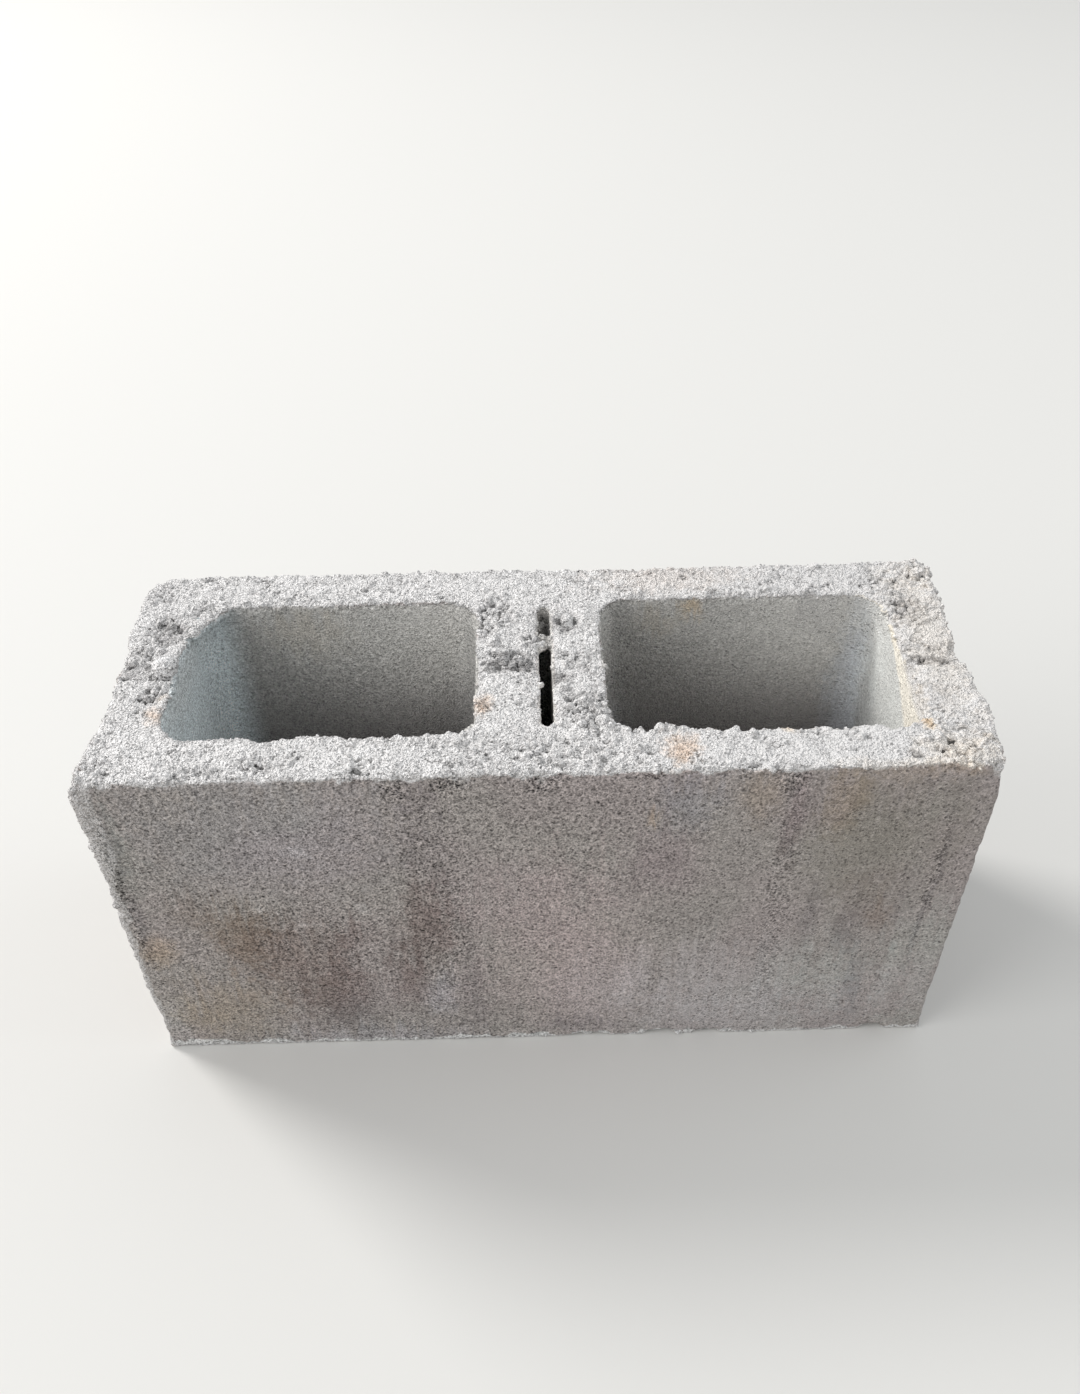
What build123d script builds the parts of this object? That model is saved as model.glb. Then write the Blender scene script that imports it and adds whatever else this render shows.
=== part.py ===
from build123d import *
import os

# A hollow concrete masonry block, pressed from stiff concrete in one piece and stored with its struck
# face up. Two cores go right through it. They are widest at the struck face, because their formers are
# drawn out that way. A narrow slot through the centre web lets the block be split into halves, and a
# shallow mark crosses all three webs where the bar that carries the core formers lay.
#
# Origin at the centre of the bed (bottom) face, +X along the block, +Y to the back, +Z up.
# All sizes are in millimetres, and angles in degrees.

# Overall size
length = 400.0
width = 150.0
height = 200.0

# Walls, measured at the struck face
face_shell = 27.0
end_web = 28.5
centre_web = 61.0

# Edges and corners
arris_radius = 1.5
core_corner_radius = 14.0
slot_corner_radius = 2.0

# How much each core wall leans in towards the bed face
core_draft = 0.8

# Splitting slot: its width, the concrete left beyond each end, and how far it sits from mid-length
slot_width = 6.0
slot_end_cover = 31.5
slot_offset = 2.5

# Core-bar mark: the bar's width and depth, and how far the torn sides of the mark lean out
bar_width = 11.0
bar_mark_depth = 2.5
bar_mark_spread = 2.0

core_length = (length - 2 * end_web - centre_web) / 2
core_width = width - 2 * face_shell
core_centre = (centre_web + core_length) / 2
slot_length = width - 2 * slot_end_cover
struck_face = Plane.XY.offset(height)


def pressed_body():
    """The solid block, with its four upright arrises eased."""
    return extrude(RectangleRounded(length, width, arris_radius), amount=height)


def core(side):
    """One core, drawn from the struck face down to the bed. side is -1 for the left and +1 for the right."""
    mouth = RectangleRounded(core_length, core_width, core_corner_radius)
    placed = struck_face * Pos(side * core_centre, 0) * mouth
    return extrude(placed, amount=height, dir=(0, 0, -1), taper=core_draft)


def splitting_slot():
    """The slot through the centre web, from the struck face to the bed."""
    mouth = RectangleRounded(slot_width, slot_length, slot_corner_radius)
    placed = struck_face * Pos(slot_offset, 0) * mouth
    return extrude(placed, amount=height, dir=(0, 0, -1))


def core_bar_mark():
    """The shallow channel that the core bar leaves along the middle of the struck face."""
    floor_half = bar_width / 2
    mouth_half = floor_half + bar_mark_spread
    section = Plane.YZ * Polygon(
        (-mouth_half, height),
        (-floor_half, height - bar_mark_depth),
        (floor_half, height - bar_mark_depth),
        (mouth_half, height),
        align=None,
    )
    return extrude(section, amount=length / 2, both=True)


def concrete_block():
    """The finished block: the body less its cores, slot and core-bar mark."""
    return pressed_body() - core(-1) - core(1) - splitting_slot() - core_bar_mark()


os.makedirs("parts", exist_ok=True)
export_step(concrete_block(), "parts/concrete_block.step")
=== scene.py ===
"""A hollow concrete masonry block, as it comes from the press and the yard.

One piece is the block itself: its pressed body, with worn arrises, torn rims and a crumbly struck face.
The others are the fine grit that lies on the struck face and along the rims. Blender's unit is the
metre, and sizes in this file are in millimetres, turned into metres by MM.
"""

import logging
from dataclasses import dataclass
from enum import Enum
from math import radians, tan
from typing import Any, Callable, Dict, Optional, Sequence, Tuple, Union

import bpy
from mathutils import Matrix, Vector


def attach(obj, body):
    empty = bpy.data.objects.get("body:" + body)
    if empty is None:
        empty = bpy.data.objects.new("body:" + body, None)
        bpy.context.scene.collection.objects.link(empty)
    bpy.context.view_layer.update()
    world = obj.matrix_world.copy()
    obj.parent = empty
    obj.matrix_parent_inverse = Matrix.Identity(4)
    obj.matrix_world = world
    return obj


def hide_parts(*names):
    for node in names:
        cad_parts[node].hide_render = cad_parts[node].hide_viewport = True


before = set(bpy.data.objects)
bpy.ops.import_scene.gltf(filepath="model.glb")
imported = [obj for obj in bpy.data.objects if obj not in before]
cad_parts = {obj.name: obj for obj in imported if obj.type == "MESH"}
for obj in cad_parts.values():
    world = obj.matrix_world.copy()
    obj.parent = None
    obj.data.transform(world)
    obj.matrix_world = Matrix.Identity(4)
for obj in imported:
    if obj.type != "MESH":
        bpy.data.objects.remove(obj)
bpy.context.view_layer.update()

MM = 0.001
FAR = 1e4
FULL_TURN = 6.28
NODE = "concrete_block"
BODY = "root"
HOLLOW = "hollow"
ROUGH = "rough"
TONE = "tone"

Triple = Tuple[float, float, float]
Paint = Tuple[float, float, float, float]
Row = Tuple[Any, ...]
log = logging.getLogger("concrete_block")


def paint(red: int, green: int, blue: int) -> Paint:
    """A colour as a paint chart gives it, made linear.

    Args:
        red, green, blue: the chart's numbers, from 0 to 255.

    Returns:
        The linear colour with full alpha.
    """
    def linear(part: int) -> float:
        """One part of the colour, made linear."""
        share = part / 255
        return share / 12.92 if share <= 0.04045 else ((share + 0.055) / 1.055) ** 2.4

    return (linear(red), linear(green), linear(blue), 1.0)


def by_node(kind: str, operation: str, swapped: bool = False) -> Callable[..., Any]:
    """A method that works something out with one node.

    Args:
        kind: which method of NodeSheet adds the node.
        operation: the node's operation.
        swapped: whether the method's own object comes last, as in a reflected operator.

    Returns:
        The method, for a class with a sheet.
    """
    def method(self: Any, *others: Any) -> Any:
        """The outcome of the node."""
        given = (*others, self) if swapped else (self, *others)
        return getattr(self.sheet, kind)(operation, *given)

    return method


@dataclass(frozen=True)
class Value:
    """A number that changes over the surface: one socket of a node sheet, with Python's arithmetic.

    at_least and at_most give the larger and the smaller of two numbers.
    """

    sheet: "NodeSheet"
    socket: Any

    __add__ = by_node("math", "ADD")
    __radd__ = by_node("math", "ADD", swapped=True)
    __sub__ = by_node("math", "SUBTRACT")
    __rsub__ = by_node("math", "SUBTRACT", swapped=True)
    __mul__ = by_node("math", "MULTIPLY")
    __rmul__ = by_node("math", "MULTIPLY", swapped=True)
    __truediv__ = by_node("math", "DIVIDE")
    __pow__ = by_node("math", "POWER")
    __abs__ = by_node("math", "ABSOLUTE")
    at_least = by_node("math", "MAXIMUM")
    at_most = by_node("math", "MINIMUM")

    def __neg__(self) -> "Value":
        """-self."""
        return self * -1.0

    def rise(self, start: "Number", end: "Number") -> "Value":
        """A smooth step from 0 at start to 1 at end."""
        return self.sheet.step(self, start, end)

    def fall(self, start: "Number", end: "Number") -> "Value":
        """A smooth step from 1 at start to 0 at end."""
        return 1.0 - self.sheet.step(self, start, end)


Number = Union[float, Value]


@dataclass(frozen=True)
class Place:
    """A point or a direction that changes over the surface, in millimetres.

    unit gives it a length of 1. length is its distance from zero, and along is how far it goes in a
    direction.
    """

    sheet: "NodeSheet"
    socket: Any

    __add__ = by_node("vector", "ADD")
    __sub__ = by_node("vector", "SUBTRACT")
    __truediv__ = by_node("vector", "DIVIDE")
    unit = by_node("vector", "NORMALIZE")
    length = by_node("measured", "LENGTH")
    along = by_node("measured", "DOT_PRODUCT")

    def __mul__(self, other: Union["Spot", Number]) -> "Place":
        """self times a number, or times other, part by part."""
        if isinstance(other, (int, float, Value)):
            return self.sheet.scaled(self, other)
        return self.sheet.vector("MULTIPLY", self, other)

    def between(self, low: Triple, high: Triple) -> "Place":
        """The nearest point of the box from low to high."""
        return self.sheet.vector("MINIMUM", self.sheet.vector("MAXIMUM", self, low), high)

    def parts(self) -> Tuple[Value, ...]:
        """The x, y and z parts."""
        node = self.sheet.node("ShaderNodeSeparateXYZ", {}, {0: self})
        return tuple(Value(self.sheet, socket) for socket in node.outputs)


Spot = Union[Triple, Place]


@dataclass(frozen=True)
class Colour:
    """A colour that changes over the surface."""

    sheet: "NodeSheet"
    socket: Any

    def toward(self, other: Any, share: Number) -> "Colour":
        """self, mixed with other by that share."""
        return self.sheet.mixed("MIX", share, self, other)

    def tinted(self, tint: Any, share: Number) -> "Colour":
        """self, multiplied by tint by that share."""
        return self.sheet.mixed("MULTIPLY", share, self, tint)


class NodeSheet:
    """A node tree, of a material or of a modifier, that is filled from Python expressions."""

    def __init__(self, tree: bpy.types.NodeTree) -> None:
        """Starts on an empty tree.

        Args:
            tree: the tree to fill. Its nodes are removed.
        """
        self.tree = tree
        tree.nodes.clear()

    def node(self, kind: str, settings: Dict[str, Any], inputs: Dict[Any, Any]) -> bpy.types.Node:
        """Adds one node.

        Args:
            kind: the node's type.
            settings: its own settings, which are set first.
            inputs: a number, colour, value or link for each socket, by name or number.

        Returns:
            The node.
        """
        node = self.tree.nodes.new(kind)
        for name, setting in settings.items():
            setattr(node, name, setting)
        for name, given in inputs.items():
            source = getattr(given, "socket", given)
            if isinstance(source, bpy.types.NodeSocket):
                self.tree.links.new(source, node.inputs[name])
            else:
                node.inputs[name].default_value = given
        return node

    def math(self, operation: str, *numbers: Number) -> Value:
        """The outcome of a Math node on one or two numbers."""
        node = self.node("ShaderNodeMath", {"operation": operation}, dict(enumerate(numbers)))
        return Value(self, node.outputs[0])

    def vector(self, operation: str, *spots: Spot) -> Place:
        """The outcome of a Vector Math node on one or two vectors."""
        node = self.node("ShaderNodeVectorMath", {"operation": operation}, dict(enumerate(spots)))
        return Place(self, node.outputs["Vector"])

    def measured(self, operation: str, *spots: Spot) -> Value:
        """The number that a Vector Math node makes of one or two vectors."""
        node = self.node("ShaderNodeVectorMath", {"operation": operation}, dict(enumerate(spots)))
        return Value(self, node.outputs["Value"])

    def scaled(self, place: Place, size: Number) -> Place:
        """place times a number."""
        node = self.node("ShaderNodeVectorMath", {"operation": "SCALE"}, {0: place, "Scale": size})
        return Place(self, node.outputs["Vector"])

    def step(self, value: Value, start: Number, end: Number) -> Value:
        """A smooth step from 0 at start to 1 at end."""
        node = self.node("ShaderNodeMapRange", {"interpolation_type": "SMOOTHSTEP"},
                         {"Value": value, "From Min": start, "From Max": end})
        return Value(self, node.outputs[0])

    def joined(self, x: Number, y: Number, z: Number) -> Place:
        """The vector of three numbers."""
        node = self.node("ShaderNodeCombineXYZ", {}, {0: x, 1: y, 2: z})
        return Place(self, node.outputs[0])

    def mixed(self, blend: str, share: Number, first: Any, second: Any) -> Colour:
        """The outcome of a Mix node on two colours.

        Args:
            blend: how they are mixed.
            share: how far the outcome goes towards the second.
            first, second: the colours.

        Returns:
            The mixed colour.
        """
        settings = {"data_type": "RGBA", "blend_type": blend, "clamp_factor": True}
        node = self.node("ShaderNodeMix", settings, {0: share, 6: first, 7: second})
        return Colour(self, node.outputs[2])

    def noise(self, place: Place, grain: float, detail: float = 2.0, roughness: float = 0.5) -> Value:
        """Soft noise from about -1 to 1.

        Args:
            place: where it is read.
            grain: the width of its main lumps in millimetres.
            detail: how many finer layers it has.
            roughness: how strong they are.

        Returns:
            The noise, with a mean of 0.
        """
        inputs = {"Vector": place, "Scale": 1 / grain, "Detail": detail, "Roughness": roughness}
        node = self.node("ShaderNodeTexNoise", {}, inputs)
        return (Value(self, node.outputs[0]) - 0.5) * 2.0

    def drift(self, place: Place, grain: float, reach: float) -> Place:
        """A place that is pushed about.

        Args:
            place: the place.
            grain: the width in millimetres over which the push changes.
            reach: how far it is pushed at most.

        Returns:
            The pushed place.
        """
        node = self.node("ShaderNodeTexNoise", {}, {"Vector": place, "Scale": 1 / grain, "Detail": 2.0})
        pushed = Place(self, node.outputs[1]) - (0.5, 0.5, 0.5)
        return place + pushed * (2.0 * reach)

    def scattered(self, place: Place, grain: float) -> Tuple[Value, Value]:
        """Cells round scattered points.

        Args:
            place: where they are read.
            grain: how wide they are in millimetres.

        Returns:
            The distance to the nearest point, as a share of the grain, and its cell's random number, from
            -1 to 1.
        """
        node = self.node("ShaderNodeTexVoronoi", {}, {"Vector": place, "Scale": 1 / grain})
        lot, _, _ = Place(self, node.outputs["Color"]).parts()
        return Value(self, node.outputs["Distance"]), lot * 2.0 - 1.0

    def kept(self, name: str) -> Value:
        """The number that is kept at each point of the mesh under a name, or 0."""
        node = self.node("ShaderNodeAttribute", {"attribute_name": name}, {})
        return Value(self, node.outputs["Fac"])


@dataclass(frozen=True)
class BlockSize:
    """The block's driving sizes in millimetres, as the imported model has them."""

    length: float = 400.0
    width: float = 150.0
    height: float = 200.0
    core_length: float = 141.0
    core_width: float = 96.0
    core_centre: float = 101.0
    core_corner: float = 14.0
    core_draft: float = 0.8
    slot_width: float = 6.0
    slot_length: float = 87.0
    slot_offset: float = 2.5
    slot_corner: float = 2.0
    bar_width: float = 11.0
    bar_mark_depth: float = 2.5
    bar_mark_spread: float = 2.0

    @property
    def half(self) -> Tuple[float, float]:
        """Half the length and half the width."""
        return self.length / 2, self.width / 2


SIZE = BlockSize()


class CoreSide(Enum):
    """Which of the two cores, by the side of the block's middle that it lies on."""

    LEFT = -1
    RIGHT = 1


@dataclass(frozen=True)
class Zone:
    """An egg-shaped stretch of the block, and how strongly something holds at its centre."""

    centre: Triple
    spread: Triple
    strength: float = 1.0


def on_front(x: float, z: float, wide: float, tall: float, strength: float = 1.0) -> Zone:
    """A zone on the front face."""
    return Zone((x, -SIZE.width / 2, z), (wide, 20.0, tall), strength)


def on_top(x: float, y: float, wide: float, deep: float, strength: float = 1.0) -> Zone:
    """A zone on the struck face."""
    return Zone((x, y, SIZE.height), (wide, deep, 12.0), strength)


def anywhere(x: float, y: float, z: float, wide: float, deep: float, tall: float,
             strength: float = 1.0) -> Zone:
    """A zone at any spot of the block."""
    return Zone((x, y, z), (wide, deep, tall), strength)


def zones(lay: Callable[..., Zone], *rows: Row) -> Tuple[Zone, ...]:
    """The zones that rows of numbers describe, each laid on or in the block by the same function."""
    return tuple(lay(*row) for row in rows)


class BlockPlaces:
    """Where a point lies on the block: how deep below the struck face, and how near an arris or a rim.

    arris_reach is how far from an arris its wear is felt. diagonal is how much farther than a face an
    arris lies from the block's heart, as a share of that reach. plateau is the middle of a zone, as a share
    of its spread, over which it holds fully.
    """

    arris_reach = 8.0
    diagonal = 0.414
    plateau = 0.35

    def __init__(self, sheet: NodeSheet, place: Place) -> None:
        """Works out the places.

        Args:
            sheet: the node sheet that the expressions go to.
            place: the point, in millimetres.
        """
        self.sheet = sheet
        self.place = place
        self.x, self.y, self.z = place.parts()
        self.depth = SIZE.height - self.z
        reach = self.arris_reach
        x_half, y_half = SIZE.half
        low = (reach - x_half, reach - y_half, reach)
        high = (x_half - reach, y_half - reach, SIZE.height - reach)
        from_heart = place - place.between(low, high)
        away = from_heart.length()
        self.outward = from_heart.unit()
        self.skin = away.rise(reach * 0.7, reach * 0.95)
        self.arris = ((away / reach - 1.0) / self.diagonal).at_least(0.0).at_most(1.3)

    def noise(self, grain: float, detail: float = 2.0, roughness: float = 0.5) -> Value:
        """The sheet's noise at the point."""
        return self.sheet.noise(self.place, grain, detail, roughness)

    def apart(self, first: Number, second: Number) -> Value:
        """How far a point is from an edge that lies that far off in each of two directions."""
        return self.sheet.joined(first, second, 0.0).length()

    def from_opening(self, centre: float, half_length: float, half_width: float) -> Value:
        """How far a point is from an upright opening.

        Args:
            centre: how far along the block the opening lies.
            half_length, half_width: half its sizes.

        Returns:
            The distance, below zero inside the opening.
        """
        across = abs(self.x - centre) - half_length
        along = abs(self.y) - half_width
        outside = self.apart(across.at_least(0.0), along.at_least(0.0))
        return outside + across.at_least(along).at_most(0.0)

    def core_wall(self, side: CoreSide) -> Tuple[Value, Place]:
        """How far a point is from one core's wall.

        Args:
            side: which core.

        Returns:
            The distance, below zero inside the core, and the level direction from it into its wall.
        """
        corner = SIZE.core_corner
        centre = side.value * SIZE.core_centre
        lean = self.depth * tan(radians(SIZE.core_draft))
        straight = (SIZE.core_length / 2 - corner, SIZE.core_width / 2 - corner)
        distance = self.from_opening(centre, *straight) - corner + lean
        low = (centre - straight[0], -straight[1], -FAR)
        high = (centre + straight[0], straight[1], FAR)
        return distance, (self.place - self.place.between(low, high)).unit()

    def nearest_core(self) -> Tuple[Value, Place]:
        """How far a point is from the nearer core's wall.

        Returns:
            The distance, and the direction from that core into its wall.
        """
        left, from_left = self.core_wall(CoreSide.LEFT)
        right, from_right = self.core_wall(CoreSide.RIGHT)
        node = self.sheet.node("ShaderNodeMix", {"data_type": "VECTOR"},
                               {0: self.x.rise(-0.01, 0.01), 4: from_left, 5: from_right})
        return left.at_most(right), Place(self.sheet, node.outputs[1])

    def slot_wall(self) -> Value:
        """How far a point is from the slot's wall, below zero inside the slot."""
        return self.from_opening(SIZE.slot_offset, SIZE.slot_width / 2, SIZE.slot_length / 2)

    def rim(self) -> Value:
        """How far a point is from the nearest core rim on the struck face."""
        distance, _ = self.nearest_core()
        return self.apart(distance, self.depth)

    def buried(self) -> Value:
        """How far inside the upright walls a point lies.

        Returns:
            Its distance from the nearest of them.
        """
        distance, _ = self.nearest_core()
        x_half, y_half = SIZE.half
        outer = (x_half - abs(self.x)).at_most(y_half - abs(self.y))
        return outer.at_most(distance).at_most(self.slot_wall())

    def gaps(self, rough: Number) -> Value:
        """The deep gaps between crumbs: 1 in a gap, where the concrete is as rough as can be."""
        level = self.place * (1.0, 1.0, 0.0)
        return self.sheet.noise(level, 4.4, 3.0, 0.65).rise(0.0, 0.24) * rough

    def lip(self) -> Value:
        """How far down the right core's end wall its pale torn lip reaches: more towards the front."""
        forward = ((38.0 - self.y) / 46.0).at_least(0.0)
        return forward * forward * 13.0 + 2.0

    def near(self, zone: Zone) -> Value:
        """1 over a zone's middle, falling to 0 at its edge."""
        away = (self.place - zone.centre) / zone.spread
        return away.length().fall(self.plateau, 1.0)

    def share(self, patches: Sequence[Zone]) -> Value:
        """How strongly a point belongs to some zones, all together.

        Args:
            patches: the zones.

        Returns:
            The sum of their strengths at the point.
        """
        first, *others = patches
        total = self.near(first) * first.strength
        for zone in others:
            total = total + self.near(zone) * zone.strength
        return total

    def calm(self, by: float) -> Value:
        """1, less up to that share in the calm zones."""
        return 1.0 - self.share(CALM_ZONES).at_most(1.0) * by


ROUGH_ZONES = zones(
    on_top,
    (-181, 30, 15, 17, 1.0), (-190, 62, 12, 12, 0.5), (-180, -17, 10, 10, 0.9),
    (-195, 1, 7, 9, 0.4), (-22, 33, 13, 20, 0.8), (-15, 1, 17, 11, 1.0), (-4, 14, 7, 9, 0.7),
    (20, -2, 14, 8, 0.5), (21, -34, 17, 18, 1.0), (44, -46, 24, 7, 1.0), (183, 34, 13, 17, 1.0),
    (185, -4, 16, 8, 0.9), (181, -64, 19, 14, 0.5), (195, 67, 14, 14, 0.6), (176, 58, 16, 10, 0.5),
    (-196, -66, 13, 14, 0.7), (-122, -66, 14, 8, 0.5), (-80, -72, 9, 6, 0.6), (97, -73, 18, 5, 0.5),
    (-150, -70, 20, 8, 0.3), (-188, 13, 12, 7, 0.6), (-16, 3, 18, 7, 0.7), (-25, 42, 9, 10, 0.5),
    (23, 8, 12, 9, 0.4), (0, -62, 60, 15, 0.45), (-60, -52, 40, 7, 0.35), (120, 52, 44, 5, 0.3),
)
CALM_ZONES = zones(
    on_top,
    (122, -60, 66, 22, 1.0), (186, -29, 20, 20, 1.0), (-17, -28, 15, 16, 0.8),
    (-110, -58, 60, 12, 0.4), (189, 12, 16, 9, 0.8), (-60, 62, 60, 12, 0.4), (110, 64, 60, 12, 0.4),
    (-182, -50, 22, 24, 0.9), (-178, 2, 10, 10, 1.3), (14, 33, 10, 10, 1.3),
    (-60, -63, 60, 10, 0.5),
)
OVERHANG_ZONES = zones(
    on_front,
    (-193, 196, 11, 9, 1.0), (-160, 198, 14, 8, 0.8), (-126, 199, 12, 6, 0.4),
    (-62, 197, 15, 8, 0.9), (-34, 197, 12, 8, 0.7), (-4, 197, 14, 8, 0.8), (32, 198, 12, 7, 0.5),
    (72, 198, 12, 7, 0.4), (107, 196, 9, 8, 0.8), (150, 198, 18, 6, 0.4), (188, 197, 13, 8, 0.7),
)
PORE_ZONES = zones(
    on_front,
    (110, 110, 9, 120, 0.45), (182, 120, 4, 66, 0.6), (-196, 130, 4, 70, 0.8),
    (-66, 192, 9, 12, 0.9), (-40, 195, 12, 8, 1.0), (-1, 195, 13, 9, 1.0), (46, 199, 9, 6, 0.9),
    (107, 193, 10, 13, 1.0), (-52, 110, 22, 110, 0.35), (-110, 80, 50, 60, 0.25),
)


def deselect() -> None:
    """Leaves object mode with nothing selected."""
    if bpy.context.object and bpy.context.object.mode != "OBJECT":
        bpy.ops.object.mode_set(mode="OBJECT")
    bpy.ops.object.select_all(action="DESELECT")


def choose(piece: bpy.types.Object) -> None:
    """Makes piece the only selected and active object."""
    deselect()
    piece.select_set(True)
    bpy.context.view_layer.objects.active = piece


def apply_modifier(piece: bpy.types.Object, kind: str, **settings: Any) -> None:
    """Changes a piece's mesh by one modifier.

    Args:
        piece: the piece.
        kind: the modifier's type.
        settings: the modifier's settings.
    """
    choose(piece)
    modifier = piece.modifiers.new(kind.lower(), kind)
    for name, setting in settings.items():
        setattr(modifier, name, setting)
    bpy.ops.object.modifier_apply(modifier=modifier.name)


def remove(piece: bpy.types.Object) -> None:
    """Deletes a helper that has done its work, with its mesh."""
    mesh = piece.data
    bpy.data.objects.remove(piece)
    bpy.data.meshes.remove(mesh)


def position(sheet: NodeSheet) -> Place:
    """The point that a Geometry Nodes tree works on, in millimetres."""
    return Place(sheet, sheet.node("GeometryNodeInputPosition", {}, {}).outputs[0]) * (1 / MM)


def normal(sheet: NodeSheet) -> Place:
    """The surface's normal in a Geometry Nodes tree."""
    return Place(sheet, sheet.node("GeometryNodeInputNormal", {}, {}).outputs[0])


def fill_with_nodes(piece: bpy.types.Object, name: str,
                    build: Callable[[BlockPlaces, Any], Any]) -> None:
    """Applies a Geometry Nodes modifier.

    Args:
        piece: the object that it changes.
        name: the tree's name.
        build: adds the nodes, from the places and the incoming geometry's socket, and returns the
            finished geometry's socket.
    """
    tree = bpy.data.node_groups.new(name, "GeometryNodeTree")
    for direction in ("INPUT", "OUTPUT"):
        tree.interface.new_socket(name="Geometry", in_out=direction, socket_type="NodeSocketGeometry")
    sheet = NodeSheet(tree)
    entry = sheet.node("NodeGroupInput", {}, {})
    finished = build(BlockPlaces(sheet, position(sheet)), entry.outputs[0])
    sheet.node("NodeGroupOutput", {}, {0: finished})
    apply_modifier(piece, "NODES", node_group=tree)
    bpy.data.node_groups.remove(tree)


def moved(geometry: Any, offset: Place) -> Any:
    """The geometry with its points moved by an offset in millimetres."""
    inputs = {"Geometry": geometry, "Offset": offset * MM}
    return offset.sheet.node("GeometryNodeSetPosition", {}, inputs).outputs[0]


def above_floor(sheet: NodeSheet, geometry: Any) -> Any:
    """The geometry with what has sunk below the floor lifted to it."""
    lifted = sheet.vector("MAXIMUM", position(sheet) * MM, (-1.0, -1.0, 0.0))
    inputs = {"Geometry": geometry, "Position": lifted}
    return sheet.node("GeometryNodeSetPosition", {}, inputs).outputs[0]


def stored(geometry: Any, name: str, value: Value) -> Any:
    """The geometry with a number kept at each point under a name."""
    settings = {"data_type": "FLOAT", "domain": "POINT"}
    inputs = {"Geometry": geometry, "Name": name, "Value": value}
    return value.sheet.node("GeometryNodeStoreNamedAttribute", settings, inputs).outputs[0]


class ConcretePart:
    """What every piece of the block shares: the way it is dressed."""

    def dress(self, piece: bpy.types.Object, finish: bpy.types.Material) -> None:
        """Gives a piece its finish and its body.

        Args:
            piece: the piece.
            finish: its material.
        """
        piece.data.materials.clear()
        piece.data.materials.append(finish)
        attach(piece, BODY)


def lump(fineness: int, radius: float, angularity: float, seed: int,
         centre: Triple = (0.0, 0.0, 0.0), flat: float = 1.0) -> bpy.types.Object:
    """A ball of broken stone.

    Args:
        fineness: how finely it is faceted.
        radius: its radius in metres.
        angularity: how far its corners are pushed about, in metres.
        seed: which of the many like shapes it has.
        centre: where it lies, in metres.
        flat: its height as a share of its width.

    Returns:
        A closed faceted lump.
    """
    deselect()
    bpy.ops.mesh.primitive_ico_sphere_add(subdivisions=fineness, radius=radius, location=centre,
                                          scale=(1.0, 1.0, flat))
    bpy.ops.object.mode_set(mode="EDIT")
    bpy.ops.mesh.select_all(action="SELECT")
    bpy.ops.transform.vertex_random(offset=angularity, seed=seed)
    bpy.ops.mesh.normals_make_consistent(inside=False)
    bpy.ops.object.mode_set(mode="OBJECT")
    return bpy.context.object


@dataclass(frozen=True)
class GrainShape:
    """One angular grain of crushed stone, with a radius of one metre before it is scaled down."""

    name: str
    fineness: int
    angularity: float
    seed: int

    def model(self) -> bpy.types.Object:
        """The grain, hidden from the render."""
        grain = lump(self.fineness, 1.0, self.angularity, self.seed)
        grain.name = self.name
        grain.hide_render = True
        return grain


CRUMB_SHAPES: Tuple[GrainShape, ...] = (
    GrainShape("crumb_round", 2, 0.16, 1),
    GrainShape("crumb_split", 2, 0.26, 2),
    GrainShape("crumb_sharp", 1, 0.25, 3),
)
SAND_SHAPES: Tuple[GrainShape, ...] = (
    GrainShape("sand_round", 1, 0.15, 4),
    GrainShape("sand_split", 1, 0.3, 5),
    GrainShape("sand_sharp", 1, 0.4, 6),
)


@dataclass(frozen=True)
class Grit:
    """A spread of grain sizes.

    smallest and largest are radii in millimetres. fines is how strongly small grains outnumber large
    ones, and sunk is how deep a grain sits, as a share of its radius.
    """

    smallest: float
    largest: float
    fines: float
    sunk: float


def random_number(sheet: NodeSheet, low: float, high: float, seed: int) -> Value:
    """A random number for each point."""
    node = sheet.node("FunctionNodeRandomValue", {"data_type": "FLOAT"},
                      {2: low, 3: high, "Seed": seed})
    return Value(sheet, node.outputs[1])


def random_triple(sheet: NodeSheet, low: Triple, high: Triple, seed: int) -> Place:
    """A random vector for each point."""
    node = sheet.node("FunctionNodeRandomValue", {"data_type": "FLOAT_VECTOR"},
                      {0: low, 1: high, "Seed": seed})
    return Place(sheet, node.outputs[0])


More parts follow.
